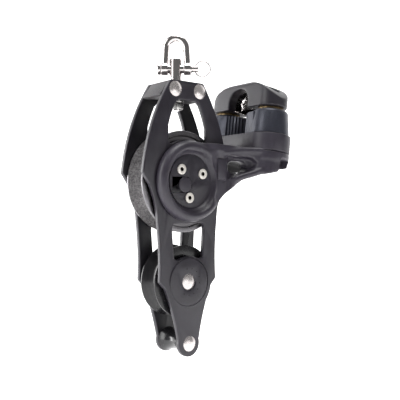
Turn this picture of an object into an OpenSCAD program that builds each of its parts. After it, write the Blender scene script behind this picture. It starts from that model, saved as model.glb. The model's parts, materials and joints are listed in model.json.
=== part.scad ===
// Two-sheave fiddle block with ratchet main sheave, becket, swivel shackle
// and a cam cleat on an adjustable arm.
// Origin: centre of the main sheave. +X towards the cleat, +Z towards the shackle.
// The switch side of the block faces -Y.

/* [Cheeks] */
// Overall width across the outer faces of the cheeks
body_w = 22.3; // [21:0.1:25]
// Thickness of each cheek
cheek_t = 2.8; // [2.2:0.1:3.4]
// Height of the head's top edge above the main sheave centre
head_z = 55.8; // [54:0.2:58]
// Half width of the head's top edge
head_hw = 11.4; // [10:0.2:13]
// Half width of the cheeks beside the main sheave
shoulder_hw = 30.4; // [29.5:0.1:32]
// Half width of the cheeks beside the small sheave
waist_hw = 19.5; // [18:0.1:20]
// Radius of the becket lobe at the cheeks' foot
lobe_r = 7.2; // [6.5:0.1:8]

/* [Sheaves] */
// Outer radius of the main sheave
main_r = 28.5; // [27.5:0.1:29]
// Groove radius of the main sheave
main_groove_r = 23; // [22:0.1:24]
// Width of the main sheave
main_w = 15; // [14:0.1:15.4]
// Drop from the main axle to the lower axle
lower_z = 55.9; // [55:0.1:57]
// Outer radius of the small sheave
small_r = 20.2; // [18:0.1:20.6]
// Groove radius of the small sheave
small_groove_r = 14.8; // [14:0.1:16]
// Width of the small sheave
small_w = 13.6; // [12:0.1:15]
// Drop from the main axle to the becket pin
becket_z = 90.2; // [89:0.1:92]

/* [Shackle] */
// Height of the clevis pin above the main sheave centre
pin_z = 64.3; // [64:0.1:67]
// Radius of the clevis pin
pin_r = 2.5; // [2:0.1:2.6]
// Height of the bow above the clevis pin
bow_rise = 19.7; // [18:0.1:24]
// Half the distance between the centres of the bow's legs
bow_half = 6.5; // [6.3:0.1:7.5]
// How far the shackle is swivelled from the sheaves' plane
shackle_turn = 40; // [0:5:90]

/* [Cleat arm] */
// Distance from the main axle to the cams' centre line
cleat_x = 55.8; // [55:0.2:60]
// Height of the cams' seat above the main axle
cleat_z = 28.0; // [27:0.1:30]
// Slope of the cams' seat, down and away from the block
cleat_tilt = 7.5; // [0:0.5:9]
// Half the distance between the two cam bolts
bolt_half = 19; // [18.5:0.1:20]
// Height of the cams
cam_h = 15.1; // [14:0.1:16]
// Height of the fairlead bridge above its feet
bridge_h = 16.3; // [15:0.1:17]
// Number of ribs on each cam's jaw
jaw_ribs = 11; // [6:1:12]

/* [Hidden] */
$fn = 48;

// Running clearance round a turning shaft, and the gap between neighbours that don't touch
run = 0.05;
gap = 0.2;
over = 0.5;
cheek_out = body_w / 2;
cheek_in = cheek_out - cheek_t;
lower_c = [0, -lower_z];
becket_c = [0, -becket_z];

// Head
rivet_x = 8.6;
rivet_z = 50.8;
rivet_r = 2.5;
head_bottom_z = 46.6;
block_slope_x = 17.2;

// Hub, from the axle outwards
axle_r = 11.6;
ball_r = 1.95;
ball_pitch_r = axle_r + run + ball_r;
bore_r = ball_pitch_r + ball_r + run;
balls = 20;
boss_r = 13.9;
boss_h = 1.35;
cover_r = 14.7;
cover_t = 0.7;
cover_in = cheek_out + boss_h + 0.05;
cover_out = cover_in + cover_t;
screw_pcd_r = 9.3;
screw_angles = [136, 27, -98];
screw_r = 1.6;
screw_head_r = 2.9;
socket_r = 1.25;
socket_depth = 1.7;
slot_x = [-12.8, -1.6];
slot_z = [-6.4, 2.4];

// Ratchet
tooth_count = 24;
tooth_tip_r = 17.4;
tooth_root_r = 18.7;
ring_r = 20;
ring_y = [-7, -2.4];
web_y = -1.4;
carrier_r = 16.3;
pawl_pivot_r = 14.2;
pawl_eye_r = 1.9;
pawl_pin_r = 0.8;
pawl_span = 55;
stem_x = [-6.4, -2.8];
stem_z = [-4.6, 0.6];
button_r = 4.3;
button_c = [-4.6, -2];

// Lower axle and becket
lower_r = 3;
race_r = 6.2;
small_ball_r = 1.55;
small_pitch_r = race_r + run + small_ball_r;
small_bore_r = small_pitch_r + small_ball_r + run;
small_ball_count = 11;
pad_r = 13.5;
pad_h = 0.35;
axle_head_r = 4.4;
becket_pin_r = 2.5;
becket_head_r = 4.2;
spool_r = 6.9;
spool_waist_r = 4.6;

// Swivel post and shackle
post_r = 3.55;
shank_r = 3;
post_top = pin_z + 5.5;
nut_z = [41, 45.2];
washer_z = 46.3;
leg_r = 2.1;
lug_r = 3.5;
bow_slide = 0.3;
crown_half = 5.8;
pin_head_x = bow_slide - bow_half - leg_r - 2;
pin_end_x = 13;
tail_r = 1.9;
tail_x = bow_slide + bow_half + leg_r + 0.3;
ring_hole_x = 11.2;
ring_hole_r = 1;
split_r = 4.4;
split_wire_r = 0.4;

// Cleat arm, in the block's frame
arm_in = cheek_out + gap;
ring_out_r = 22.7;
ring_crest_r = 18.9;
arm_face = 17.3;
counter_y = cover_in - 0.1;
web_face = 14.4;
arm_hole = [30.4, 8.7];
arm_hole_r = 3.4;
arm_hole_run = 4.6;
pad_x = [18.8, 25.6];
pad_z = [1.4, 13.8];

// Cleat stack, in the cleat's own frame: z = 0 is the cams' seat
base_r = 13.4;
base_t = 10.4;
saddle_low = -15.8;
end_low = -25;
nut_seat = -17;
nut_h = 3.9;
end_slope = 11;
notch_a = -68;
notch_half = 5;
notch_top = -14.5;
cam_low = 0.35;
cam_top = cam_low + cam_h;
drum_low_r = 12.2;
drum_top_r = 10.8;
drum_shoulder = 1.8;
jaw_r = 17.4;
jaw_growth = 0.08;
jaw_from = -135;
jaw_to = -55;
rib_depth = 1.1;
bolt_r = 2.5;
sleeve_r = 4.4;
cam_ball_r = 1.15;
cam_pitch_r = sleeve_r + run + cam_ball_r;
cam_bore_r = cam_pitch_r + cam_ball_r + run;
cam_ball_count = 14;
foot_z = cam_top + 1.6;
bridge_r = 9.8;
bridge_end_z = foot_z + 5.6;
bridge_round = 2.8;
bridge_top_z = foot_z + bridge_h;
bolt_seat_z = foot_z + 3.2;
tunnel_r = 8.3;
tunnel_z = foot_z + 4;
liner_t = 1.25;
liner_half = 4.4;

// Points on a parabola from a towards b that bulges by sag to the left of the way there
function bow(a, b, sag, n = 10) = [
  for (i = [0:n - 1])
    let (t = i / n, d = b - a, len = norm(d))
      a + t * d + 4 * t * (1 - t) * sag * [-d[1], d[0]] / len
];
// Points on a circle of radius r round c, from angle from to angle to
function arc(c, r, from, to, n = 12) = [
  for (i = [0:n]) c + r * [cos(from + (to - from) * i / n), sin(from + (to - from) * i / n)]
];
function polar(r, a) = r * [cos(a), sin(a)];
function flip(points) = [for (i = [len(points) - 1:-1:0]) [-points[i][0], points[i][1]]];

// An outline drawn as (x, z) and made solid from y0 to y1
module slab(y0, y1) {
  translate([0, y1, 0]) rotate([90, 0, 0]) linear_extrude(y1 - y0) children();
}
// A profile drawn as (radius, y) and turned round the Y axis
module turned() {
  rotate([-90, 0, 0]) rotate_extrude($fn = 96) children();
}
module rod_y(c, r, y0, y1) {
  translate([c[0], y0, c[1]]) rotate([-90, 0, 0]) cylinder(r = r, h = y1 - y0);
}
module at_y(c) {
  translate([c[0], 0, c[1]]) children();
}
module both_sides() {
  children();
  mirror([0, 1, 0]) children();
}
// Puts its children in the shackle's frame: X along the clevis pin
module at_shackle() {
  rotate([0, 0, -shackle_turn]) children();
}
module at_cleat() {
  translate([cleat_x, 0, cleat_z]) rotate([0, cleat_tilt, 0]) children();
}
// Both cams' bolt axes
module at_bolts() {
  at_cleat() for (s = [-1, 1]) translate([0, s * bolt_half, 0]) children();
}
// A round wire swept through points, closed at both ends
module wire(points, r, sides = 8) {
  n = len(points);
  function way(i) = points[min(i + 1, n - 1)] - points[max(i - 1, 0)];
  function side(i) = let (s = cross(way(i), [0, 0, 1])) s / norm(s);
  function up(i) = let (u = cross(side(i), way(i))) u / norm(u);
  rings = [for (i = [0:n - 1], k = [0:sides - 1])
    points[i] + r * (cos(360 * k / sides) * side(i) + sin(360 * k / sides) * up(i))];
  walls = [for (i = [0:n - 2], k = [0:sides - 1])
    [i * sides + k, i * sides + (k + 1) % sides, (i + 1) * sides + (k + 1) % sides, (i + 1) * sides + k]];
  first = [for (k = [sides - 1:-1:0]) k];
  last = [for (k = [0:sides - 1]) (n - 1) * sides + k];
  polyhedron(rings, concat([first], walls, [last]));
}

// Cheeks -----------------------------------------------------------------

module cheek_outline() {
  half = concat(
    bow([head_hw, head_z], [shoulder_hw, 4.5], 3.3),
    bow([shoulder_hw, 4.5], [26, -2], 0, 2),
    bow([26, -2], [waist_hw + 1.2, -23], -1.1, 6),
    bow([waist_hw + 1.2, -23], [waist_hw + 0.2, -55], -0.7, 6),
    bow([waist_hw + 0.2, -55], [15.8, -59.2], 0, 2),
    bow([15.8, -59.2], [lobe_r - 0.3, -becket_z + 1.6], -0.9, 8),
    [[lobe_r - 0.3, -becket_z + 1.6]]
  );
  offset(r = 1.6) offset(delta = -1.6) polygon(concat(half, flip(half)));
}
module upper_window_outline() {
  side = concat([[6.5, 45.2]], bow([8.8, 43], [14.2, 27.5], 0.5, 5), [[13.6, 23.5]]);
  offset(r = 1.8) offset(delta = -1.8)
    polygon(concat(side, arc([0, 0], 23.4, 56, 124, 10), flip(side)));
}
module lower_window_outline() {
  offset(r = 1.5) offset(delta = -1.5) difference() {
    polygon([[11, -23.4], [11.4, -27], [10.2, -43.2], [-10.2, -43.2], [-11.4, -27], [-11, -23.4]]);
    translate(lower_c) circle(r = pad_r + 0.8);
  }
}
module cheek_plate() {
  difference() {
    union() {
      slab(-cheek_out, -cheek_in) cheek_outline();
      rod_y(becket_c, lobe_r, -cheek_out, -cheek_in);
      rod_y([0, 0], boss_r, -cheek_out - boss_h, -cheek_out + over);
      rod_y(lower_c, pad_r, -cheek_out - pad_h, -cheek_out + over);
    }
    slab(-cheek_out - over, -cheek_in + over) upper_window_outline();
    slab(-cheek_out - over, -cheek_in + over) lower_window_outline();
    for (s = [-1, 1]) rod_y([s * rivet_x, rivet_z], rivet_r, -cheek_out - 1, -cheek_in + 1);
    rod_y(lower_c, lower_r, -cheek_out - 1, -cheek_in + 1);
    rod_y(lower_c, axle_head_r + gap, -cheek_out - 1, -cheek_out + 0.5);
    rod_y(becket_c, becket_pin_r, -cheek_out - 1, -cheek_in + 1);
    for (a = screw_angles) rod_y(polar(screw_pcd_r, a), screw_r, -cheek_out - 2, -cheek_in + 1);
  }
}
module switch_slot(y0, y1) {
  translate([slot_x[0], y0, slot_z[0]]) cube([slot_x[1] - slot_x[0], y1 - y0, slot_z[1] - slot_z[0]]);
}
module cheek_near() {
  color("#2b2b2e") difference() {
    cheek_plate();
    switch_slot(-cheek_out - 2, -cheek_in + 1);
  }
}
module cheek_far() {
  color("#2b2b2e") mirror([0, 1, 0]) cheek_plate();
}

// Head -------------------------------------------------------------------

module head_block() {
  edge = head_z - 0.1;
  half = concat([[head_hw - 0.3, edge], [block_slope_x, 47.4], [block_slope_x - 1, head_bottom_z]],
    bow([12, head_bottom_z], [5.5, head_bottom_z + 0.8], 0, 3));
  color("#3a3a3e") difference() {
    slab(-cheek_in, cheek_in) polygon(concat(half, flip(half)));
    for (s = [-1, 1]) rod_y([s * rivet_x, rivet_z], rivet_r, -cheek_in - 1, cheek_in + 1);
    translate([0, 0, head_bottom_z - 1]) cylinder(r = shank_r + run, h = head_z);
    translate([0, 0, head_bottom_z - 1]) cylinder(r = 5, h = 1.8);
  }
}
// A round rivet head whose face stands at y = -face
module rivet_head(c, r, face, h) {
  at_y(c) turned()
    polygon(concat([[0, -face]], [for (a = [0:15:90]) [r * cos(a), -face - h * sin(a)]]));
}
module rivet(c, r, head_r, face, h = 1.1) {
  rod_y(c, r, -face, face);
  both_sides() rivet_head(c, head_r, face, h);
}
module head_rivets() {
  color("#d8d8da") for (s = [-1, 1]) rivet([s * rivet_x, rivet_z], rivet_r, 4.2, cheek_out);
}

// Hub and ratchet --------------------------------------------------------

module main_axle() {
  color("#8d9096") difference() {
    rod_y([0, 0], axle_r, -cheek_in, cheek_in);
    for (a = screw_angles, s = [-1, 1])
      rod_y(polar(screw_pcd_r, a), screw_r, s * cheek_in - 5, s * cheek_in + 5);
  }
}
module cover_disc() {
  difference() {
    rod_y([0, 0], cover_r, -cover_out, -cover_in);
    for (a = screw_angles) rod_y(polar(screw_pcd_r, a), screw_r, -cover_out - 1, -cover_in + 1);
  }
}
module hub_cover_near() {
  color("#333336") union() {
    difference() {
      cover_disc();
      switch_slot(-cover_out - 1, -cover_in + 1);
    }
    rod_y([2.6, -3.2], 2.1, -cover_out - 0.35, -cover_out + 0.2);
  }
}
module hub_cover_far() {
  color("#333336") mirror([0, 1, 0]) cover_disc();
}
module hub_screw(a) {
  c = polar(screw_pcd_r, a);
  difference() {
    union() {
      rod_y(c, screw_r, -cover_out - 0.1, -4);
      rod_y(c, screw_head_r, -cover_out - 0.9, -cover_out);
    }
    rod_y(c, socket_r, -cover_out - 2, -cover_out - 0.9 + socket_depth, $fn = 6);
  }
}
module hub_screws() {
  color("#e4e2dc") for (a = screw_angles) both_sides() hub_screw(a);
}
// Sector of the pawls' space, as an outline
module pawl_space(a) {
  polygon(concat([polar(axle_r + 0.1, a - 16)], arc([0, 0], carrier_r + 1, a - 16, a + 44, 8),
    arc([0, 0], axle_r + 0.1, a + 44, a - 16, 8)));
}
module pawl_carrier() {
  color("#2f3133") difference() {
    union() {
      rod_y([0, 0], carrier_r, ring_y[1] + 0.1, ring_y[1] + 0.9);
      slab(ring_y[0], ring_y[1] + 0.2) difference() {
        circle(r = carrier_r);
        for (a = [pawl_span, pawl_span + 180]) pawl_space(a);
      }
    }
    rod_y([0, 0], axle_r + 0.02, ring_y[0] - 1, ring_y[1] + 2);
  }
}
module pawl_pins() {
  color("#b9bcc0") for (a = [pawl_span, pawl_span + 180])
    rod_y(polar(pawl_pivot_r, a), pawl_pin_r, ring_y[0] - 0.8, ring_y[1] + 0.1);
}
module pawl(a) {
  p = polar(pawl_pivot_r, a);
  tip = polar(tooth_tip_r - 0.5, a + 32);
  heel = polar(tooth_tip_r - 2.6, a + 31);
  color("#9a9da2") difference() {
    union() {
      rod_y(p, pawl_eye_r, ring_y[0] + 0.1, ring_y[1] - 0.2);
      slab(ring_y[0] + 0.1, ring_y[1] - 0.2)
        polygon([p + polar(1.5, a + 10), tip, heel, p + polar(1.5, a + 170)]);
    }
    rod_y(p, pawl_pin_r + run, ring_y[0] - 1, ring_y[1] + 1);
  }
}
module pawl_upper() {
  pawl(pawl_span);
}
module pawl_lower() {
  pawl(pawl_span + 180);
}
// A leaf spring between the axle and each pawl
module pawl_springs() {
  color("#c9cbd0") for (a = [pawl_span, pawl_span + 180]) slab(-5.4, -4)
    polygon(concat(arc([0, 0], axle_r + 0.1, a + 12, a + 43, 8), arc([0, 0], axle_r + 0.35, a + 43, a + 12, 8)));
}
module ratchet_ring() {
  teeth = [for (i = [0:tooth_count - 1]) each [
    polar(tooth_tip_r, 360 * i / tooth_count),
    polar(tooth_root_r, 360 * (i + 0.12) / tooth_count)
  ]];
  color("#a5a8ad") difference() {
    rod_y([0, 0], ring_r, ring_y[0], ring_y[1]);
    slab(ring_y[0] - 1, ring_y[1] + 1) polygon(teeth);
  }
}

// Sheaves ----------------------------------------------------------------

// Outline of a rope groove between two lips, as (radius, y)
function groove(r, deep_r, half_w, lip) = let (n = 8) [
  [r, half_w - 0.2],
  each [for (i = [-n:n])
    let (t = -i / n) [deep_r + (r - deep_r) * t * t, (half_w - lip) * t]],
  [r, -half_w + 0.2]
];
module main_sheave() {
  half = main_w / 2;
  color("#8f9194") turned() polygon(concat(
    [[bore_r, web_y], [bore_r, half - 1.2], [bore_r + 3, half - 1.2], [bore_r + 5, half], [main_r - 1, half]],
    groove(main_r, main_groove_r, half, 1.1),
    [[main_r - 1, -half], [ring_r + 0.02, -half], [ring_r + 0.02, web_y]]));
}
// Rows of balls round the Y axis, one row at each y
module ball_rows(c, pitch, r, count, rows) {
  for (y = rows, i = [0:count - 1]) at_y(c + polar(pitch, 360 * i / count))
    translate([0, y, 0]) sphere(r = r, $fn = 24);
}
module main_balls() {
  color("#eceae4") ball_rows([0, 0], ball_pitch_r, ball_r, balls, [0.6, 4.7]);
}
module small_sheave() {
  half = small_w / 2;
  color("#1c1c1e") at_y(lower_c) turned() polygon(concat(
    [[small_bore_r, -half + 0.8], [small_bore_r, half - 0.8], [small_bore_r + 2, half], [small_r - 0.8, half]],
    groove(small_r, small_groove_r, half, 0.9),
    [[small_r - 0.8, -half], [small_bore_r + 2, -half]]));
}
module small_balls() {
  color("#eceae4") ball_rows(lower_c, small_pitch_r, small_ball_r, small_ball_count, [-3.2, 3.2]);
}

// Lower axle, becket -----------------------------------------------------

module lower_axle() {
  color("#d8d8da") rivet(lower_c, lower_r, axle_head_r, cheek_out - 0.5, 0.8);
}
module small_race() {
  color("#202022") difference() {
    rod_y(lower_c, race_r, -cheek_in, cheek_in);
    rod_y(lower_c, lower_r, -cheek_in - 1, cheek_in + 1);
  }
}
module becket_pin() {
  color("#d8d8da") rivet(becket_c, becket_pin_r, becket_head_r, cheek_out, 1.0);
}
module becket_spool() {
  flare = [for (i = [0:12])
    let (t = i / 6 - 1) [spool_waist_r + (spool_r - spool_waist_r) * t * t, t * cheek_in]];
  color("#1f1f21") at_y(becket_c) turned()
    polygon(concat([[becket_pin_r, -cheek_in]], flare, [[becket_pin_r, cheek_in]]));
}

// Switch -----------------------------------------------------------------

module ratchet_switch() {
  color("#3c3c40") union() {
    rod_y(button_c, button_r, -cover_out - 0.95, -cover_out - 0.1);
    translate([stem_x[0], -cover_out - 0.2, stem_z[0]])
      cube([stem_x[1] - stem_x[0], cover_out + 0.2 - cheek_in - 0.3, stem_z[1] - stem_z[0]]);
  }
}

// Swivel shackle ---------------------------------------------------------

module swivel_post() {
  color("#c4c4c6") difference() {
    union() {
      translate([0, 0, nut_z[0] - 0.6]) cylinder(r = shank_r, h = head_z + 1 - nut_z[0]);
      translate([0, 0, head_z + gap]) cylinder(r = post_r, h = post_top - head_z - gap);
    }
    at_shackle() translate([-9, 0, pin_z]) rotate([0, 90, 0]) cylinder(r = pin_r + run, h = 18);
  }
}
module post_washer() {
  color("#b8b8ba") difference() {
    translate([0, 0, nut_z[1]]) cylinder(r = 4.8, h = washer_z - nut_z[1]);
    translate([0, 0, nut_z[1] - 1]) cylinder(r = shank_r, h = 4);
  }
}
module post_nut() {
  color("#b0b0b2") difference() {
    translate([0, 0, nut_z[0]]) cylinder(r = 4.7, h = nut_z[1] - nut_z[0], $fn = 6);
    translate([0, 0, nut_z[0] - 1]) cylinder(r = shank_r, h = 8);
  }
}
module shackle_bow() {
  crown_z = pin_z + bow_rise - leg_r - crown_half;
  splay = atan((bow_half - crown_half) / (crown_z - pin_z));
  color("#d0d0d2") at_shackle() translate([bow_slide, 0, 0]) difference() {
    union() {
      translate([0, 0, crown_z]) rotate([90, 0, 0])
        rotate_extrude(angle = 180) translate([crown_half, 0]) circle(r = leg_r);
      for (s = [-1, 1]) {
        translate([s * crown_half, 0, crown_z]) sphere(r = leg_r);
        translate([s * bow_half, 0, pin_z]) rotate([0, -s * splay, 0])
          cylinder(r = leg_r, h = norm([bow_half - crown_half, crown_z - pin_z]));
        translate([s * bow_half - 2, 0, pin_z]) rotate([0, 90, 0]) cylinder(r = lug_r, h = 4);
      }
    }
    translate([-12, 0, pin_z]) rotate([0, 90, 0]) cylinder(r = pin_r, h = 24);
  }
}
module shackle_pin() {
  color("#c8c8ca") at_shackle() translate([0, 0, pin_z]) difference() {
    rotate([0, 90, 0]) union() {
      translate([0, 0, pin_head_x]) cylinder(r = 3.3, h = 1.9);
      translate([0, 0, pin_head_x]) cylinder(r = pin_r, h = tail_x - pin_head_x);
      translate([0, 0, tail_x - 0.5]) cylinder(r = tail_r, h = pin_end_x - tail_x + 0.5);
    }
    translate([ring_hole_x, 0, -4]) cylinder(r = ring_hole_r, h = 8);
  }
}
module split_ring() {
  sag = (split_r - sqrt(split_r * split_r - tail_r * tail_r)) / 2;
  color("#d4d4d6") at_shackle() translate([ring_hole_x - sag + split_r, 0, pin_z])
    rotate([90, 0, 0]) rotate_extrude($fn = 64) translate([split_r, 0]) circle(r = split_wire_r, $fn = 16);
}

// Cleat arm --------------------------------------------------------------

module stadium(r) {
  offset(r = r) square([0.02, 2 * bolt_half], center = true);
}
// Side view of a leg, as (x, z)
module leg_outline() {
  polygon(concat(
    [[0, 21.4]],
    bow([15, 21.9], [38, 19.7], 0.4, 5), [[48, 17.6], [62, 16], [60, 8], [52, 6.2]],
    bow([44, 5.2], [31, 1], 0.8, 5), [[16.5, -13.4], [0, -21.4]]
  ));
}
// The pocket between a leg's two ribs
module pocket_outline() {
  offset(r = 1.6) offset(delta = -1.6) difference() {
    polygon([[14, 15.4], [27, 15.2], [39, 13.8], [42, 10.5], [39, 7.6], [32, 5], [24, -1.4], [14, -10]]);
    circle(r = ring_out_r - 2.4);
  }
}
// Plan view of the near pocket, as (x, y): its floor follows the leg as it flares out
module pocket_plan() {
  polygon(concat([[10, -40], [10, -web_face]], bow([32, -web_face], [46, -27], 1.4, 8), [[46, -27], [46, -40]]));
}
// Plan view of the near leg, as (x, y): it flares out to the near end of the cleat
module leg_plan() {
  polygon(concat(
    [[2, -arm_in], [2, -15.4], [18, -16.6]],
    bow([25, -17.2], [44, -27], 1.6, 6), [[50, -31], [56, -31], [56, -arm_in]]
  ));
}
module arm_ring() {
  foot = arm_in + 1.4;
  rim = [for (a = [0:15:90])
    [ring_crest_r + (ring_out_r - ring_crest_r) * cos(a), -foot - (arm_face - foot) * sin(a)]];
  dish = [for (t = [0.125:0.125:1])
    [ring_crest_r - (ring_crest_r - cover_r - gap) * t,
      -arm_face + (arm_face - counter_y - 0.4) * (1 - cos(180 * t)) / 2]];
  turned() polygon(concat([[ring_out_r, -arm_in]], rim, dish,
    [[cover_r + gap, -counter_y], [boss_r + run, -counter_y], [boss_r + run, -arm_in]]));
}
module leg() {
  difference() {
    intersection() {
      slab(-40, 0) leg_outline();
      linear_extrude(120, center = true) leg_plan();
    }
    intersection() {
      slab(-40, 0) pocket_outline();
      linear_extrude(120, center = true) pocket_plan();
    }
    rod_y([0, 0], ring_out_r - 2, -40, 0);
    // An oval hole right through the web
    for (x = [0, arm_hole_run]) rod_y(arm_hole + [x, 0], arm_hole_r, -40, 0);
    translate([arm_hole[0], -40, arm_hole[1] - arm_hole_r]) cube([arm_hole_run, 40, 2 * arm_hole_r]);
  }
  // Raised pad on the pocket's floor
  translate([pad_x[0], -web_face - 0.9, pad_z[0]]) cube([pad_x[1] - pad_x[0], 1.6, pad_z[1] - pad_z[0]]);
}
module cleat_arm() {
  color("#2a2a2d") difference() {
    union() {
      both_sides() {
        arm_ring();
        leg();
      }
      at_cleat() translate([0, 0, saddle_low]) linear_extrude(-base_t - 0.05 - saddle_low) stadium(base_r);
      at_bolts() translate([0, 0, end_low]) cylinder(r = base_r - 0.6, h = -base_t - 1 - end_low, $fn = 72);
    }
    // Block's own space, inside the fork
    translate([-5, -arm_in, -40]) cube([cleat_x - base_r + 4, 2 * arm_in, 56]);
    at_bolts() translate([0, 0, -40]) cylinder(r = bolt_r + 0.1, h = 60);
    at_bolts() translate([0, 0, end_low - 1]) cylinder(r = 4.9, h = nut_seat - end_low + 1, $fn = 6);
    at_cleat() translate([-30, -base_r + 3, -40]) cube([60, 2 * base_r - 6, 40 + saddle_low]);
    at_cleat() translate([-60, -50, -base_t]) cube([120, 100, base_t + 40]);
    // The ends' sloping underside, with a notch up into each end
    translate([44, -60, 4.4]) rotate([0, -end_slope, 0]) translate([-4, 0, -30]) cube([60, 120, 30]);
    both_sides() at_cleat() translate([0, -bolt_half, 0]) rotate([0, 0, notch_a])
      translate([6, -notch_half, end_low - 1]) cube([12, 2 * notch_half, notch_top - end_low + 1]);
  }
}
module cleat_base() {
  color("#303033") difference() {
    at_cleat() translate([0, 0, -base_t]) linear_extrude(base_t) stadium(base_r);
    at_bolts() translate([0, 0, -base_t - 1]) cylinder(r = bolt_r + 0.1, h = 40);
    at_bolts() translate([0, 0, -4]) difference() {
      cylinder(r = 10.3, h = 10);
      translate([0, 0, -1]) cylinder(r = 7.6, h = 12);
    }
    // Drain notch in the near end
    at_cleat() translate([9.2, -bolt_half - 12, -6.6]) cube([2, 4, 1.4]);
  }
}

// Cams and fairlead ------------------------------------------------------

module cam_sleeves() {
  color("#c9a24a") at_bolts() difference() {
    cylinder(r = sleeve_r, h = cam_top + 0.1);
    translate([0, 0, -1]) cylinder(r = bolt_r, h = 30);
  }
}
module cam_washers() {
  color("#c9a24a") at_bolts() difference() {
    translate([0, 0, cam_top + 0.15]) cylinder(r = 7.6, h = foot_z - cam_top - 0.2);
    cylinder(r = bolt_r, h = 40);
  }
}
module cam_bolts() {
  color("#cfcfd1") at_bolts() difference() {
    union() {
      translate([0, 0, nut_seat - nut_h - 0.4]) cylinder(r = bolt_r, h = bolt_seat_z - nut_seat + nut_h + 0.6);
      translate([0, 0, bolt_seat_z]) cylinder(r = 4.2, h = 2.6);
    }
    translate([0, 0, bolt_seat_z + 1]) cylinder(r = 1.6, h = 4, $fn = 6);
  }
}
module cam_nuts() {
  color("#b9babd") at_bolts() difference() {
    translate([0, 0, nut_seat - nut_h - 0.1]) cylinder(r = 4.6, h = nut_h, $fn = 6);
    translate([0, 0, nut_seat - nut_h - 1]) cylinder(r = bolt_r, h = 8);
  }
}
module cam_springs() {
  turns = 3;
  step = 30;
  path = [for (a = [0:step:360 * turns]) concat(polar(9, a), [-3.4 + 2.6 * a / (360 * turns)])];
  color("#b9bcc0") at_bolts() wire(path, 0.35);
}
// Jaw of the far cam: a spiral that grows away from the block, cut into ribs
module jaw_outline() {
  steps = 2 * jaw_ribs;
  rim = [for (i = [0:steps])
    let (a = jaw_from + (jaw_to - jaw_from) * i / steps)
      polar(jaw_r + jaw_growth * (a + 90) - (i % 2) * rib_depth, a)];
  polygon(concat([[0, 0], polar(11.5, jaw_from - 30)], rim, [polar(11.5, jaw_to + 45)]));
}
module cam() {
  drum = [[0, cam_low], [drum_low_r, cam_low], [drum_low_r - 0.3, cam_low + 3],
    [drum_top_r, cam_top - drum_shoulder],
    [drum_top_r - 0.5, cam_top - 0.5 * drum_shoulder], [drum_top_r - 1.6, cam_top], [0, cam_top]];
  difference() {
    union() {
      rotate_extrude($fn = 72) polygon(drum);
      translate([0, 0, cam_low + 0.6]) linear_extrude(cam_h - 2.4) jaw_outline();
    }
    translate([0, 0, -1]) cylinder(r = cam_bore_r, h = 30);
  }
}
module cam_far() {
  color("#4b5263") at_cleat() translate([0, bolt_half, 0]) cam();
}
module cam_near() {
  color("#4b5263") at_cleat() translate([0, -bolt_half, 0]) mirror([0, 1, 0]) cam();
}
module cam_ball_set(s) {
  color("#eceae4") at_cleat() translate([0, s * bolt_half, 0])
    for (z = [cam_low + 3.2, cam_top - 3.2], i = [0:cam_ball_count - 1])
      rotate([0, 0, 360 * i / cam_ball_count]) translate([cam_pitch_r, 0, z]) sphere(r = cam_ball_r, $fn = 24);
}
module cam_near_balls() {
  cam_ball_set(-1);
}
module cam_far_balls() {
  cam_ball_set(1);
}
// Side view of the bridge across the two cams, as (y, z)
module bridge_side() {
  end_y = bolt_half + bridge_r;
  half = concat([[end_y, foot_z], [end_y, bridge_end_z - 1]],
    bow([end_y - 0.6, bridge_end_z], [0, bridge_top_z], -3.8, 12));
  polygon(concat(half, flip(concat(half, [[0, bridge_top_z]]))));
}
// End view of the bridge, as (x, z): its long edges are rounded over
module bridge_end() {
  offset(r = bridge_round) offset(delta = -bridge_round)
    translate([-bridge_r, foot_z - 20]) square([2 * bridge_r, bridge_h + 20]);
}
module across(half) {
  translate([-half, 0, 0]) rotate([90, 0, 90]) linear_extrude(2 * half) children();
}
module fairlead_bridge() {
  color("#333337") at_cleat() difference() {
    intersection() {
      linear_extrude(60) stadium(bridge_r);
      across(20) bridge_side();
      rotate([90, 0, 0]) linear_extrude(120, center = true) bridge_end();
    }
    across(20) translate([-tunnel_r, foot_z - 1]) square([2 * tunnel_r, tunnel_z - foot_z + 1]);
    translate([-20, 0, tunnel_z]) rotate([0, 90, 0]) cylinder(r = tunnel_r, h = 40);
    for (s = [-1, 1]) translate([0, s * bolt_half, 0]) {
      cylinder(r = bolt_r + 0.1, h = 60);
      translate([0, 0, bolt_seat_z]) cylinder(r = 4.6, h = 30);
    }
  }
}
module fairlead_liner() {
  outer = tunnel_r - 0.03;
  inner = tunnel_r - liner_t;
  leg_h = tunnel_z - foot_z;
  color("#d9d9db") at_cleat() difference() {
    union() {
      translate([-liner_half, 0, tunnel_z]) rotate([0, 90, 0]) cylinder(r = outer, h = 2 * liner_half);
      translate([-liner_half, -outer, foot_z]) cube([2 * liner_half, 2 * outer, leg_h]);
    }
    translate([-20, 0, tunnel_z]) rotate([0, 90, 0]) cylinder(r = inner, h = 40);
    translate([-20, -inner, foot_z - 12]) cube([40, 2 * inner, leg_h + 12]);
  }
}

cheek_near();
cheek_far();
head_block();
head_rivets();
main_axle();
hub_cover_near();
hub_cover_far();
hub_screws();
pawl_carrier();
pawl_pins();
pawl_springs();
lower_axle();
small_race();
becket_pin();
becket_spool();
main_sheave();
ratchet_ring();
main_balls();
small_sheave();
small_balls();
ratchet_switch();
pawl_upper();
pawl_lower();
swivel_post();
post_washer();
post_nut();
shackle_bow();
shackle_pin();
split_ring();
cleat_arm();
cleat_base();
cam_sleeves();
cam_washers();
cam_bolts();
cam_nuts();
cam_springs();
fairlead_bridge();
fairlead_liner();
cam_near();
cam_far();
cam_near_balls();
cam_far_balls();
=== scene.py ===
import json
import math

import bmesh
import bpy
from mathutils import Matrix, Vector


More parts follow.
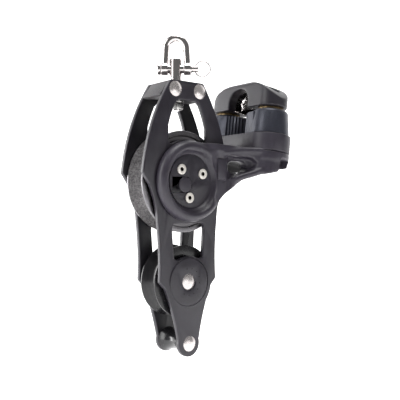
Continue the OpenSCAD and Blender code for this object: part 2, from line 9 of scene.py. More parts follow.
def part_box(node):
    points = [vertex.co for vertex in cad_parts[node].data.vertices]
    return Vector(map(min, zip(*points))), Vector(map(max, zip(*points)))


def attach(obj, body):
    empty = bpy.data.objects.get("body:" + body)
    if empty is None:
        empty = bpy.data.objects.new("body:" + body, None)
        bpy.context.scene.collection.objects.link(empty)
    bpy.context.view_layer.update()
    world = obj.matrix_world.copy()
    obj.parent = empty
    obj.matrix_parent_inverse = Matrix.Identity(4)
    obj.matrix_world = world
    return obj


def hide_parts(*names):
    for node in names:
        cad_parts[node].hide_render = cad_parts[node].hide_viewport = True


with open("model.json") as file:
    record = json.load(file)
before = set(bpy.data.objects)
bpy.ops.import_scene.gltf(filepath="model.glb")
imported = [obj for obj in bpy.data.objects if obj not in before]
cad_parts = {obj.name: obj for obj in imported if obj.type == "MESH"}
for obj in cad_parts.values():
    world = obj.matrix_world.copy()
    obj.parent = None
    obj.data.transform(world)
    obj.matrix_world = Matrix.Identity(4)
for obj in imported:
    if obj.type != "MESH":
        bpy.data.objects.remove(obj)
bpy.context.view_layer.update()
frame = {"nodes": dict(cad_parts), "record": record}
mm = 0.001
bodyOf = {node: body for body, nodes in frame["record"]["behaviour"]["bodies"].items() for node in nodes}
slotOf = {part["node"]: part["material_slot"] for part in frame["record"]["subparts"]}
view = bpy.context.scene.view_settings
view.view_transform = "Standard"  # white stays white
view.look = "None"


class Wire:  # a socket in a material, with arithmetic
    def __init__(self, tree, socket):
        self.tree = tree
        self.socket = socket

    def maths(self, operation, other, swapped=False):
        node = self.tree.nodes.new("ShaderNodeMath")
        node.operation = operation
        for entry, value in zip(node.inputs, (other, self) if swapped else (self, other)):
            plug(self.tree, entry, value)
        return Wire(self.tree, node.outputs[0])

    def __add__(self, other):
        return self.maths("ADD", other)

    def __sub__(self, other):
        return self.maths("SUBTRACT", other)

    def __rsub__(self, other):
        return self.maths("SUBTRACT", other, True)

    def __mul__(self, other):
        return self.maths("MULTIPLY", other)

    __radd__ = __add__
    __rmul__ = __mul__


def plug(tree, entry, value):
    if isinstance(value, Wire):
        tree.links.new(value.socket, entry)
    else:
        entry.default_value = value


class Finish:  # a material under construction, ending in one Principled shader
    def __init__(self, name, **fixed):
        self.material = bpy.data.materials.new(name)
        self.material.use_nodes = True
        self.tree = self.material.node_tree
        self.shader = self.tree.nodes["Principled BSDF"]
        self.set(**fixed)

    def set(self, **values):
        for name, value in values.items():
            plug(self.tree, self.shader.inputs[name.replace("_", " ")], value)
        return self

    def add(self, kind, settings=None, output=0, **values):
        node = self.tree.nodes.new(kind)
        for name, value in (settings or {}).items():
            if name == "stops":
                for stop, (place, colour) in zip(node.color_ramp.elements, value):
                    stop.position = place
                    stop.color = (*colour, 1)
            else:
                setattr(node, name, value)
        for name, value in values.items():
            entry = node.inputs[int(name[2:])] if name[:2] == "at" else node.inputs[name.replace("_", " ")]
            plug(self.tree, entry, value)
        return Wire(self.tree, node.outputs[output])

    def place(self, offset=(0, 0, 0), scale=(1, 1, 1)):
        where = self.add("ShaderNodeTexCoord", output=3)
        return self.add("ShaderNodeMapping", Vector=where, Location=offset, Scale=scale)

    def noise(self, size, detail=2.0, where=None, roughness=0.5):
        where = where or self.place()
        scale = 1 / size
        return self.add("ShaderNodeTexNoise", Vector=where, Scale=scale, Detail=detail, Roughness=roughness)

    def ramp(self, factor, low, high, start=0.3, end=0.7):
        kind = "ShaderNodeMapRange"
        return self.add(kind, Value=factor, From_Min=start, From_Max=end, To_Min=low, To_Max=high)

    def tint(self, factor, dark, light):
        stops = [(0.3, dark), (0.7, light)]
        return self.add("ShaderNodeValToRGB", {"stops": stops}, Fac=factor)

    def bump(self, height, depth, strength=1.0):
        normal = self.add("ShaderNodeBump", Height=height, Distance=depth, Strength=strength)
        return self.set(Normal=normal)

mouldingLook = {"dark": (0.0195, 0.0168, 0.0235), "light": (0.028, 0.0248, 0.0335),
                "grain": 0.35 * mm, "depth": 0.02 * mm}


def moulded(name, roughness=0.36, shade=1.0, depth=mouldingLook["depth"]):
    finish = Finish(name, Specular_IOR_Level=0.5)
    dark, light = (tuple(shade * c for c in mouldingLook[k]) for k in ("dark", "light"))
    slow = finish.noise(9 * mm, 3)
    grain = finish.noise(mouldingLook["grain"], 2)
    finish.set(Base_Color=finish.tint(slow, dark, light))
    sheen = finish.ramp(slow, roughness - 0.04, roughness + 0.05)
    finish.set(Roughness=sheen + finish.ramp(grain, -0.02, 0.02))
    return finish.bump(grain, depth).material


def polished(name, colour=(0.74, 0.7, 0.69), roughness=0.13):
    finish = Finish(name, Metallic=1.0)
    lines = finish.noise(1 * mm, 3, finish.place(scale=(6, 1, 0.6)))
    smears = finish.noise(4 * mm, 2)
    finish.set(Base_Color=finish.tint(smears, tuple(0.93 * c for c in colour), colour))
    finish.set(Roughness=finish.ramp(lines, roughness - 0.03, roughness + 0.05))
    return finish.bump(lines, 0.003 * mm).material


def gloss(name):  # glossy black acetal with tool-turned rings too fine to see one by one
    finish = Finish(name)
    slow = finish.noise(6 * mm, 2)
    fine = finish.noise(0.6 * mm, 2)
    finish.set(Base_Color=finish.tint(slow, (0.012, 0.012, 0.014), (0.02, 0.019, 0.021)))
    finish.set(Roughness=finish.ramp(slow, 0.16, 0.24))
    return finish.bump(fine, 0.004 * mm).material


def metal(name, dark, light, roughness, metallic=1.0, grain=0.5 * mm, depth=0.01 * mm):
    finish = Finish(name, Metallic=metallic)
    mottle = finish.noise(grain, 3)
    slow = finish.noise(12 * grain, 2)
    finish.set(Base_Color=finish.tint(mottle, dark, light))
    finish.set(Roughness=finish.ramp(slow, roughness - 0.06, roughness + 0.06))
    return finish.bump(mottle, depth).material


def speckled(name):  # grit-blasted grey groove of the main sheave
    finish = Finish(name, Metallic=0.35)
    grit = finish.noise(0.9 * mm, 5, roughness=0.7)
    patches = finish.noise(7 * mm, 2)
    tone = finish.ramp(patches, 0.42, 0.58) + finish.ramp(grit, -0.25, 0.25, 0.35, 0.65)
    finish.set(Base_Color=finish.tint(tone, (0.07, 0.067, 0.069), (0.22, 0.21, 0.215)))
    finish.set(Roughness=finish.ramp(grit, 0.55, 0.75))
    return finish.bump(grit, 0.12 * mm).material


def roughCast(name):  # head block: grained grey all over
    finish = Finish(name)
    grit = finish.noise(0.7 * mm, 4, roughness=0.7)
    finish.set(Base_Color=finish.tint(grit, (0.03, 0.028, 0.031), (0.105, 0.1, 0.105)))
    finish.set(Roughness=finish.ramp(grit, 0.5, 0.7))
    return finish.bump(grit, 0.08 * mm).material


finishes = {
    "cheek": moulded("cheekPlastic", 0.34, 1.05),
    # painted shade: the cheek plastic again, much darker, for the cheeks' faces that look at each other
    "cheekPaintedShade": moulded("cheekInsidePlastic", 0.4, 0.4),
    "arm": moulded("armPlastic", 0.38, 1.6),
    # painted shade: the arm plastic again, near black, for the arm's inward faces and its hole
    "armPaintedShade": moulded("armInsidePlastic", 0.7, 0.12),
    "hub": moulded("hubPlastic", 0.46, 1.1, 0.03 * mm),
    "bridge": moulded("bridgePlastic", 0.42, 0.75),
    "base": moulded("basePlastic", 0.42, 1.5),
    "inner": moulded("innerPlastic", 0.5, 1.3),
    "head": roughCast("headBlockGrain"),
    "gloss": gloss("glossAcetal"),
    "steel": polished("polishedSteel"),
    "dull": polished("washedSteel", (0.55, 0.54, 0.53), 0.24),
    "screw": metal("screwSteel", (0.78, 0.74, 0.68), (0.86, 0.82, 0.76), 0.3, 0.35, 0.4 * mm, 0.003 * mm),
    "rivet": metal("rivetSteel", (0.62, 0.58, 0.57), (0.74, 0.69, 0.68), 0.24, 0.75, 0.8 * mm, 0.004 * mm),
    # painted shade: near black for the faces down inside the screws' sockets
    "socket": metal("socketShade", (0.012, 0.008, 0.006), (0.02, 0.014, 0.01), 0.6),
    "groove": speckled("groovedAlloy"),
    "lip": metal("turnedAlloy", (0.17, 0.165, 0.175), (0.26, 0.25, 0.262), 0.32, 1.0, 0.4 * mm, 0.003 * mm),
    "axle": metal("axleAlloy", (0.4, 0.4, 0.42), (0.52, 0.52, 0.54), 0.35),
    "ratchet": metal("groundSteel", (0.3, 0.3, 0.31), (0.42, 0.42, 0.43), 0.32),
    "spring": metal("springWire", (0.5, 0.5, 0.52), (0.62, 0.62, 0.63), 0.25),
    "cam": metal("camAlloy", (0.03, 0.032, 0.043), (0.055, 0.058, 0.078), 0.38, 0.4, 0.3 * mm, 0.012 * mm),
    "bronze": metal("bronzeBush", (0.12, 0.085, 0.045), (0.2, 0.15, 0.08), 0.4),
    "ball": metal("ballPlastic", (0.68, 0.66, 0.6), (0.8, 0.78, 0.72), 0.3, 0.0, 0.6 * mm, 0.002 * mm),
}

cadFinish = {
    "main_axle": "axle", "pawl_carrier": "inner", "pawl_pins": "dull", "pawl_springs": "spring",
    "small_race": "gloss", "ratchet_ring": "ratchet", "main_balls": "ball", "small_balls": "ball",
    "pawl_upper": "ratchet", "pawl_lower": "ratchet", "cam_sleeves": "bronze", "cam_springs": "spring",
    "cam_near_balls": "ball", "cam_far_balls": "ball",
}
for node, key in cadFinish.items():
    mesh = frame["nodes"][node].data
    mesh.materials.clear()
    mesh.materials.append(finishes[key])
print("finishes ready:", len(finishes))


def baked(piece):  # applies a piece's modifiers by taking the evaluated mesh
    bpy.context.view_layer.update()
    graph = bpy.context.evaluated_depsgraph_get()
    done = bpy.data.meshes.new_from_object(piece.evaluated_get(graph), depsgraph=graph)
    piece.modifiers.clear()
    piece.data = done
    return piece


def shown(name, mesh, key=None):
    piece = bpy.data.objects.new(name, mesh)
    bpy.context.scene.collection.objects.link(piece)
    if key:
        mesh.materials.clear()
        mesh.materials.append(finishes[key])
    return piece


breakAngle = {"edged": 40, "turned": 38, "rivet": 50, "round": 60}


def smoothed(piece, angle=35):  # smooth shading, broken at edges sharper than the angle
    mesh = piece.data
    shape = bmesh.new()
    shape.from_mesh(mesh)
    for face in shape.faces:
        face.smooth = True
    for edge in shape.edges:
        edge.smooth = not edge.is_manifold or edge.calc_face_angle(0) < math.radians(angle)
    shape.to_mesh(mesh)
    shape.free()
    return piece


def settle(piece, body, slot, *nodes):  # hands a finished piece to the frame
    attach(piece, body)
    if nodes:
        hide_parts(*nodes)
    return piece


def mergedCopy(node, flat=1.0):  # a node's mesh as one closed shell, its flat faces made whole
    shape = bmesh.new()
    shape.from_mesh(frame["nodes"][node].data)
    bmesh.ops.remove_doubles(shape, verts=shape.verts, dist=2e-6)
    if flat:
        bmesh.ops.dissolve_limit(shape, angle_limit=math.radians(flat), verts=shape.verts, edges=shape.edges)
    mesh = bpy.data.meshes.new(node + "Copy")
    shape.to_mesh(mesh)
    shape.free()
    return mesh


def boxMesh(name, low, high):
    shape = bmesh.new()
    bmesh.ops.create_cube(shape, size=1)
    bmesh.ops.scale(shape, vec=[b - a for a, b in zip(low, high)], verts=shape.verts)
    bmesh.ops.translate(shape, vec=[(b + a) / 2 for a, b in zip(low, high)], verts=shape.verts)
    mesh = bpy.data.meshes.new(name)
    shape.to_mesh(mesh)
    shape.free()
    return mesh


def edged(piece, width, segments=3, angle=35):  # rounds a piece's sharp edges
    edges = piece.modifiers.new("edges", "BEVEL")
    edges.width = width
    edges.segments = segments
    edges.limit_method = "ANGLE"
    edges.angle_limit = math.radians(angle)
    edges.use_clamp_overlap = False
    return smoothed(baked(piece), breakAngle["edged"])


def bevelled(node, name, key, width, segments=3, angle=35):  # a crisp CAD part with its edges rounded
    piece = edged(shown(name, mergedCopy(node), key), width, segments, angle)
    return settle(piece, bodyOf[node], slotOf[node], node)


def tubeMesh(points, radius, sides=16):  # a round bead along points, closed by its ends' half balls
    shape = bmesh.new()
    for place in points:
        bmesh.ops.create_uvsphere(shape, u_segments=sides, v_segments=sides // 2, radius=radius,
                                  matrix=Matrix.Translation(place))
    mesh = bpy.data.meshes.new("bead")
    shape.to_mesh(mesh)
    shape.free()
    return mesh


relaxFactor = 0.5


def flowing(node, name, key, look, extras=(), ceiling=None):  # remeshed, then relaxed inside its own box
    mesh = mergedCopy(node, 0)
    shape = bmesh.new()
    for part in (mesh, *extras):
        shape.from_mesh(part)
    shape.to_mesh(mesh)
    shape.free()
    piece = shown(name, mesh, key)
    grid = piece.modifiers.new("grid", "REMESH")
    grid.mode = "VOXEL"
    grid.voxel_size = look["voxel"]
    baked(piece)
    if ceiling:
        for vertex in piece.data.vertices:
            top = ceiling(vertex.co)
            vertex.co.y = min(max(vertex.co.y, -top), top)
    relax = piece.modifiers.new("relax", "SMOOTH")
    relax.factor = relaxFactor
    relax.iterations = look["rounds"]
    baked(piece)
    low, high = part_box(node)
    for vertex in piece.data.vertices:
        vertex.co = [min(max(value, a), b) for value, a, b in zip(vertex.co, low, high)]
    for face in piece.data.polygons:
        face.use_smooth = True
    piece.data.materials.clear()
    piece.data.materials.append(finishes[key])
    return settle(piece, bodyOf[node], slotOf[node], node)


def turnedMesh(name, profile, steps=96, centre=(0, 0), close=True):
    shape = bmesh.new()
    line = [shape.verts.new((radius, y, 0)) for radius, y in profile]
    ends = list(zip(line, line[1:] + (line[:1] if close else [])))
    edges = [shape.edges.new(pair) for pair in ends]
    bmesh.ops.spin(shape, geom=line + edges, axis=(0, 1, 0), cent=(0, 0, 0), steps=steps, angle=2 * math.pi)
    bmesh.ops.remove_doubles(shape, verts=shape.verts, dist=1e-7)
    bmesh.ops.translate(shape, verts=shape.verts, vec=(centre[0], 0, centre[1]))
    bmesh.ops.recalc_face_normals(shape, faces=shape.faces)
    mesh = bpy.data.meshes.new(name)
    shape.to_mesh(mesh)
    shape.free()
    return mesh


def arcPoints(centre, radius, start, end, count):  # points on an arc, angles in degrees
    turns = [math.radians(start + (end - start) * i / count) for i in range(count + 1)]
    return [(centre[0] + radius * math.cos(t), centre[1] + radius * math.sin(t)) for t in turns]


def middle(node):
    low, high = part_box(node)
    return (low + high) / 2


def nodeTree(name, inputs):  # an empty tree with named inputs and one geometry output
    tree = bpy.data.node_groups.new(name, "GeometryNodeTree")
    tree.interface.new_socket("Geometry", in_out="INPUT", socket_type="NodeSocketGeometry")
    for label, kind in inputs.items():
        tree.interface.new_socket(label, in_out="INPUT", socket_type="NodeSocket" + kind)
    tree.interface.new_socket("Geometry", in_out="OUTPUT", socket_type="NodeSocketGeometry")
    return tree, tree.nodes.new("NodeGroupInput"), tree.nodes.new("NodeGroupOutput")


def treeNode(tree, kind, settings=None, **links):
    node = tree.nodes.new(kind)
    for name, value in (settings or {}).items():
        setattr(node, name, value)
    for name, value in links.items():
        entry = node.inputs[int(name[2:])] if name[:2] == "at" else node.inputs[name.replace("_", " ")]
        if isinstance(value, bpy.types.NodeSocket):
            tree.links.new(value, entry)
        else:
            entry.default_value = value
    return node.outputs


def finishTree(tree, points, given, turn, out):
    piece = treeNode(tree, "GeometryNodeObjectInfo", at0=given["Piece"])
    placed = treeNode(tree, "GeometryNodeInstanceOnPoints", Points=points, Instance=piece["Geometry"],
                      Rotation=turn)
    real = treeNode(tree, "GeometryNodeRealizeInstances", Geometry=placed[0])
    painted = treeNode(tree, "GeometryNodeSetMaterial", Geometry=real[0], Material=given["Material"])
    tree.links.new(painted[0], out.inputs[0])
    return tree


def ringTree():  # copies of a piece along an arc round Z: Count of them at Radius, from Start through Sweep
    inputs = {"Piece": "Object", "Material": "Material", "Count": "Int"}
    inputs.update({"Radius": "Float", "Start": "Float", "Sweep": "Float"})
    tree, given, out = nodeTree("piecesOnRing", inputs)
    given = given.outputs
    index = treeNode(tree, "GeometryNodeInputIndex")[0]
    share = treeNode(tree, "ShaderNodeMath", {"operation": "DIVIDE"}, at0=index, at1=given["Count"])[0]
    angle = treeNode(tree, "ShaderNodeMath", {"operation": "MULTIPLY_ADD"}, at0=share, at1=given["Sweep"],
                     at2=given["Start"])[0]
    along = [treeNode(tree, "ShaderNodeMath", {"operation": word}, at0=angle)[0]
             for word in ("COSINE", "SINE")]
    unit = treeNode(tree, "ShaderNodeCombineXYZ", X=along[0], Y=along[1])[0]
    place = treeNode(tree, "ShaderNodeVectorMath", {"operation": "SCALE"}, at0=unit, Scale=given["Radius"])[0]
    turn = treeNode(tree, "ShaderNodeCombineXYZ", Z=angle)[0]
    points = treeNode(tree, "GeometryNodePoints", Count=given["Count"], Position=place)[0]
    return finishTree(tree, points, given, turn, out)


def spotTree():  # copies of a piece on the vertices of the modifier's own mesh
    inputs = {"Piece": "Object", "Material": "Material", "Turn": "Vector"}
    tree, given, out = nodeTree("piecesOnSpots", inputs)
    given = given.outputs
    return finishTree(tree, given["Geometry"], given, given["Turn"], out)


trees = {"ring": ringTree(), "spots": spotTree()}


def grown(name, kind, pattern, mesh, places=(), **values):
    source = shown(name + "Pattern", pattern)
    base = bpy.data.meshes.new(name + "Base")
    base.from_pydata(list(places), [], [])
    piece = shown(name, base)
    growth = piece.modifiers.new("growth", "NODES")
    growth.node_group = trees[kind]
    values.update(Piece=source, Material=finishes[mesh])
    for entry in trees[kind].interface.items_tree:
        if entry.in_out == "INPUT" and entry.name in values:
            growth[entry.identifier] = values[entry.name]
    baked(piece)
    bpy.data.objects.remove(source)
    return piece


upright = Matrix.Rotation(math.pi / 2, 4, "X")  # a ring drawn round Z, turned to lie round Y


def facing(piece, centre, y):
    piece.data.transform(Matrix.Translation((centre[0], y, centre[1])) @ upright)
    return piece


cheekLook = {"edge": 0.5 * mm, "segments": 3, "sharp": 50, "inward": 0.9}
for node, name in (("cheek_near", "nearCheek"), ("cheek_far", "farCheek")):
    cheek = bevelled(node, name, "cheek", cheekLook["edge"], cheekLook["segments"], cheekLook["sharp"])
    # faces turned towards the other cheek take the darker copy: painted shade for the gap between the cheeks
    cheek.data.materials.append(finishes["cheekPaintedShade"])
    for face in cheek.data.polygons:
        if face.normal.y * face.center.y < -cheekLook["inward"] * abs(face.center.y):
            face.material_index = 1

lowerAxle = middle("lower_axle")
dotLook = {"count": 9, "ring": 7.4 * mm, "size": 0.36 * mm, "start": -120, "sweep": 250, "inset": 1 * mm}
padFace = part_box("cheek_near")[0].y + dotLook["inset"]


def dotMesh(size):  # a low round dot that stands on z = 0
    shape = bmesh.new()
    bmesh.ops.create_uvsphere(shape, u_segments=12, v_segments=8, radius=size)
    bmesh.ops.scale(shape, vec=(1, 1, 0.4), verts=shape.verts)
    mesh = bpy.data.meshes.new("dot")
    shape.to_mesh(mesh)
    shape.free()
    for face in mesh.polygons:
        face.use_smooth = True
    return mesh


for side, name in ((1, "nearDots"), (-1, "farDots")):
    dots = grown(name, "ring", dotMesh(dotLook["size"]), "gloss", Count=dotLook["count"],
                 Radius=dotLook["ring"], Start=math.radians(dotLook["start"]),
                 Sweep=math.radians(dotLook["sweep"]))
    facing(dots, (lowerAxle.x, lowerAxle.z), side * padFace)
    settle(dots, "frame", "moulding")

headLook = {"edge": 0.4 * mm}
bevelled("head_block", "headBlock", "head", headLook["edge"])


def rivetMesh(name, shank, head, face, dome, centre=(0, 0)):
    lift = (head * head - dome * dome) / (2 * dome)  # from the sphere's centre to the head's flat side
    radius = lift + dome
    rise = math.degrees(math.asin(head / radius))
    heads = arcPoints((0, face - lift), radius, 90, 90 - rise, rivetLook["domeSteps"])
    right = [(r, y) for r, y in heads] + [(shank, face)]
    left = [(r, -y) for r, y in reversed(right)]
    return turnedMesh(name, right + left, rivetLook["turns"], centre, close=False)


rivetLook = {"head": 4.2 * mm, "shank": 2.5 * mm, "dome": 1.1 * mm, "turns": 72, "domeSteps": 14}
rivetLow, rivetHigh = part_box("head_rivets")
rivetX = rivetHigh.x - rivetLook["head"]
rivetSpots = [(s * rivetX, 0, (rivetLow.z + rivetHigh.z) / 2) for s in (-1, 1)]
plainRivet = rivetMesh("rivet", rivetLook["shank"], rivetLook["head"], rivetHigh.y - rivetLook["dome"],
                       rivetLook["dome"])
headRivets = grown("headRivets", "spots", plainRivet, "rivet", rivetSpots)
smoothed(headRivets, breakAngle["rivet"])
settle(headRivets, "frame", "stainless", "head_rivets")
pinLook = {"lower_axle": ("lowerAxle", 4.4 * mm, 3 * mm, 0.8 * mm),
           "becket_pin": ("becketPin", 4.2 * mm, 2.5 * mm, 1 * mm)}  # name, head, shank, dome
for node, (name, head, shank, dome) in pinLook.items():
    centre = middle(node)
    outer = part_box(node)[1].y
    mesh = rivetMesh(name, shank, head, outer - dome, dome, (centre.x, centre.z))
    settle(smoothed(shown(name, mesh, "rivet"), breakAngle["rivet"]), "frame", "stainless", node)
print("cheeks and head done")

hubLook = {"coverEdge": 0.15 * mm, "switchEdge": 0.35 * mm}
bevelled("hub_cover_near", "nearHubCover", "hub", hubLook["coverEdge"], 2)
bevelled("hub_cover_far", "farHubCover", "hub", hubLook["coverEdge"], 2)
screwLook = {"edge": 0.22 * mm, "socket": 1.32 * mm, "pitch": 9.3 * mm, "angles": (136, 27, -98)}
hubScrews = bevelled("hub_screws", "hubScrews", "screw", screwLook["edge"], 3)
# the faces inside each socket take the painted shade in place of the steel
hubScrews.data.materials.append(finishes["socket"])
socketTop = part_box("hub_screws")[1].y - screwLook["edge"]
for face in hubScrews.data.polygons:
    for angle in screwLook["angles"]:
        axisX, axisZ = arcPoints((0, 0), screwLook["pitch"], angle, angle, 1)[0]
        inSocket = math.hypot(face.center.x - axisX, face.center.z - axisZ) < screwLook["socket"]
        if inSocket and abs(face.center.y) < socketTop:
            face.material_index = 1
bevelled("ratchet_switch", "ratchetSwitch", "base", hubLook["switchEdge"], 3)
dimpleLook = {"ring": 1.9 * mm, "wire": 0.28 * mm, "centre": (2.6 * mm, -3.2 * mm), "stand": 0.4 * mm,
              "wireSides": 12, "turns": 40}
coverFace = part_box("hub_cover_near")[0].y
line = arcPoints((dimpleLook["ring"], coverFace + dimpleLook["stand"]), dimpleLook["wire"], 0,
                 360 - 360 / dimpleLook["wireSides"], dimpleLook["wireSides"] - 1)
dimple = shown("coverBoss", turnedMesh("coverBoss", line, dimpleLook["turns"], dimpleLook["centre"]), "gloss")
settle(smoothed(dimple, breakAngle["round"]), "frame", "moulding")
print("hub done")

sheaveLook = {
    "grips": 44, "gripTurn": 5.5, "gripRise": 0.22 * mm, "gripWide": 0.55 * mm, "gripSink": 0.1 * mm,
    "teeth": 150, "toothSize": (1.3 * mm, 0.5 * mm, 0.5 * mm), "toothTip": 0.35, "toothIn": 2.2 * mm,
    "toothSink": 0.05 * mm, "dish": (2.6 * mm, 3.2 * mm, 5.6 * mm, 6.1 * mm), "hubStep": 3 * mm,
    "hubRise": 5 * mm, "grooveFoot": 0.2 * mm, "grooveTop": 0.1 * mm, "grooveSteep": 0.93, "turns": 160,
    "bore": 15.6 * mm, "deep": 23 * mm, "lip": 1.1 * mm, "ratchet": 20.02 * mm, "web": -1.4 * mm,
    "round": 0.45 * mm, "recess": 1.2 * mm, "hollow": 0.7 * mm,
}
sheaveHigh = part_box("main_sheave")[1]
rim = sheaveHigh.x
half = sheaveHigh.y
bore = sheaveLook["bore"]
grooveDeep = sheaveLook["deep"]
lip = sheaveLook["lip"]
web = sheaveLook["web"]


def grooveLine(outer, deep, halfWidth, lipWidth, count=16):
    steps = [1 - 2 * i / count for i in range(count + 1)]
    return [(deep + (outer - deep) * t * t, (halfWidth - lipWidth) * t) for t in steps]


bend = sheaveLook["round"]
rounded = arcPoints((rim - bend, half - bend), bend, 0, 90, 5)
farLip = [(r, y) for r, y in reversed(rounded)]
nearLip = [(r, -y) for r, y in rounded]
floor = -half + sheaveLook["hollow"]
dish = [rim - reach for reach in sheaveLook["dish"]]  # a shallow ring sunk into the near side
hollow = [(dish[0], -half), (dish[1], floor), (dish[2], floor), (dish[3], -half),
          (sheaveLook["ratchet"], -half), (sheaveLook["ratchet"], web)]
inset = half - sheaveLook["recess"]
mainProfile = [(bore, web), (bore, inset), (bore + sheaveLook["hubStep"], inset),
               (bore + sheaveLook["hubRise"], half)]
mainProfile += farLip + grooveLine(rim, grooveDeep, half, lip) + nearLip + hollow
mainSheave = shown("mainSheave", turnedMesh("mainSheave", mainProfile, sheaveLook["turns"]), "lip")
mainSheave.data.materials.append(finishes["groove"])
grooveStart = grooveDeep - sheaveLook["grooveFoot"]
grooveEnd = rim - sheaveLook["grooveTop"]
for face in mainSheave.data.polygons:
    radius = math.hypot(face.center.x, face.center.z)
    inGroove = abs(face.center.y) < half - lip and grooveStart < radius < grooveEnd
    face.material_index = 1 if inGroove and abs(face.normal.y) < sheaveLook["grooveSteep"] else 0
settle(smoothed(mainSheave, breakAngle["turned"]), "main_sheave", "sheave_alloy", "main_sheave")


def gripMesh(look):  # one chevron rib across the groove, drawn at zero angle with the axle along Z
    shape = bmesh.new()
    rings = []
    for radius, y in grooveLine(rim, grooveDeep, half, lip, 12)[1:-1]:
        turn = math.radians(look["gripTurn"]) * abs(y) / half
        ring = []
        foot, top = -look["gripSink"], look["gripRise"]
        for across, rise in ((-1, foot), (-0.35, top), (0.35, top), (1, foot)):
            angle = turn + across * look["gripWide"] / radius
            out = radius + rise
            ring.append(shape.verts.new((out * math.cos(angle), out * math.sin(angle), -y)))
        rings.append(ring)
    for a, b in zip(rings, rings[1:]):
        for i in range(4):
            j = (i + 1) % 4
            shape.faces.new((a[i], a[j], b[j], b[i]))
    shape.faces.new(rings[0][::-1])
    shape.faces.new(rings[-1])
    bmesh.ops.recalc_face_normals(shape, faces=shape.faces)
    mesh = bpy.data.meshes.new("grip")
    shape.to_mesh(mesh)
    shape.free()
    return mesh


wholeTurn = {"Start": 0.0, "Sweep": 2 * math.pi}
grips = grown("sheaveGrips", "ring", gripMesh(sheaveLook), "groove", Count=sheaveLook["grips"], Radius=0.0,
              **wholeTurn)
settle(smoothed(facing(grips, (0, 0), 0), breakAngle["round"]), "main_sheave", "sheave_alloy")


def toothMesh(look):  # one fine tooth on the flange's side, standing on z = 0
    shape = bmesh.new()
    bmesh.ops.create_cube(shape, size=1)
    bmesh.ops.scale(shape, vec=look["toothSize"], verts=shape.verts)
    for vertex in shape.verts:
        if vertex.co.z > 0:
            vertex.co.y *= look["toothTip"]
    mesh = bpy.data.meshes.new("tooth")
    shape.to_mesh(mesh)
    shape.free()
    return mesh


teeth = grown("flangeTeeth", "ring", toothMesh(sheaveLook), "lip", Count=sheaveLook["teeth"],
              Radius=rim - sheaveLook["toothIn"], **wholeTurn)
settle(facing(teeth, (0, 0), -half + sheaveLook["toothSink"]), "main_sheave", "sheave_alloy")

smallLow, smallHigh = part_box("small_sheave")
smallCentre = ((smallLow.x + smallHigh.x) / 2, (smallLow.z + smallHigh.z) / 2)
smallRim = (smallHigh.x - smallLow.x) / 2
smallHalf = smallHigh.y
smallLook = {"bore": 9.4 * mm, "deep": 14.8 * mm, "lip": 0.9 * mm, "round": 0.4 * mm, "recess": 0.8 * mm,
             "hubRise": 2 * mm, "turns": 128}
smallBore = smallLook["bore"]
smallBend = smallLook["round"]
smallRound = arcPoints((smallRim - smallBend, smallHalf - smallBend), smallBend, 0, 90, 5)
smallInset = smallHalf - smallLook["recess"]
smallRise = smallBore + smallLook["hubRise"]
smallProfile = [(smallBore, -smallInset), (smallBore, smallInset), (smallRise, smallHalf)]
smallProfile += smallRound[::-1] + grooveLine(smallRim, smallLook["deep"], smallHalf, smallLook["lip"])
smallProfile += [(r, -y) for r, y in smallRound] + [(smallRise, -smallHalf)]
smallMesh = turnedMesh("smallSheave", smallProfile, smallLook["turns"], smallCentre)
smallSheave = shown("smallSheave", smallMesh, "gloss")
settle(smoothed(smallSheave, breakAngle["turned"]), "small_sheave", "acetal", "small_sheave")

spoolLow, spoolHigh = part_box("becket_spool")
spoolCentre = ((spoolLow.x + spoolHigh.x) / 2, (spoolLow.z + spoolHigh.z) / 2)
spoolRadius = (spoolHigh.x - spoolLow.x) / 2
spoolLook = {"waist": 4.6 * mm, "bore": 2.5 * mm, "steps": 24, "turns": 96}
flare = spoolRadius - spoolLook["waist"]
along = [2 * i / spoolLook["steps"] - 1 for i in range(spoolLook["steps"] + 1)]
spoolLine = [(spoolLook["waist"] + flare * t * t, t * spoolHigh.y) for t in along]
spoolLine = [(spoolLook["bore"], spoolLow.y)] + spoolLine + [(spoolLook["bore"], spoolHigh.y)]
spoolMesh = turnedMesh("becketSpool", spoolLine, spoolLook["turns"], spoolCentre)
becketSpool = shown("becketSpool", spoolMesh, "gloss")
settle(smoothed(becketSpool, breakAngle["turned"]), "frame", "acetal", "becket_spool")
print("sheaves done")

shackleLook = {"postEdge": 0.25 * mm, "washerEdge": 0.15 * mm, "nutEdge": 0.25 * mm, "pinEdge": 0.3 * mm,
               "ringEdge": 0.01 * mm, "ringSharp": 80, "voxel": 0.22 * mm, "rounds": 10}
bevelled("swivel_post", "swivelPost", "steel", shackleLook["postEdge"])
bevelled("post_washer", "postWasher", "dull", shackleLook["washerEdge"], 2)
bevelled("post_nut", "postNut", "dull", shackleLook["nutEdge"], 2)
flowing("shackle_bow", "shackleBow", "steel", shackleLook)
bevelled("shackle_pin", "shacklePin", "steel", shackleLook["pinEdge"])
bevelled("split_ring", "splitRing", "steel", shackleLook["ringEdge"], 1, shackleLook["ringSharp"])
print("shackle done")

armLook = {
    "voxel": 0.5 * mm, "rounds": 26, "topBead": 2.3 * mm, "lowBead": 2.1 * mm, "step": 0.6 * mm,
    "face": 17.3 * mm, "web": 14.7 * mm, "crest": 16.4 * mm, "crestFrom": 15.8 * mm, "crestTo": 18.6 * mm,
    "reach": 24 * mm, "sinkTurn": 4, "sinkHalf": 26, "sinkEnd": 52, "inward": 0.3,
    "saddle": 16 * mm, "inside": 13 * mm, "freeFrom": 31 * mm, "freeTo": 40 * mm, "freeRise": 30 * mm,
    "top": [(-3, -14.9, 18.9), (6, -14.9, 18.0), (12, -15, 17.0), (19, -15.4, 16.6), (26, -16.4, 17.0),
            (33, -18.6, 18.0), (39, -21.6, 18.2), (45, -25.4, 18.0)],
    "low": [(12, -14.2, -14.2), (16, -14.6, -10.2), (20.5, -15.4, -5.6), (26, -16.8, -0.9),
            (31.5, -18.8, 2.4), (38, -22.4, 4.6), (43.5, -25.6, 6.6)],
}


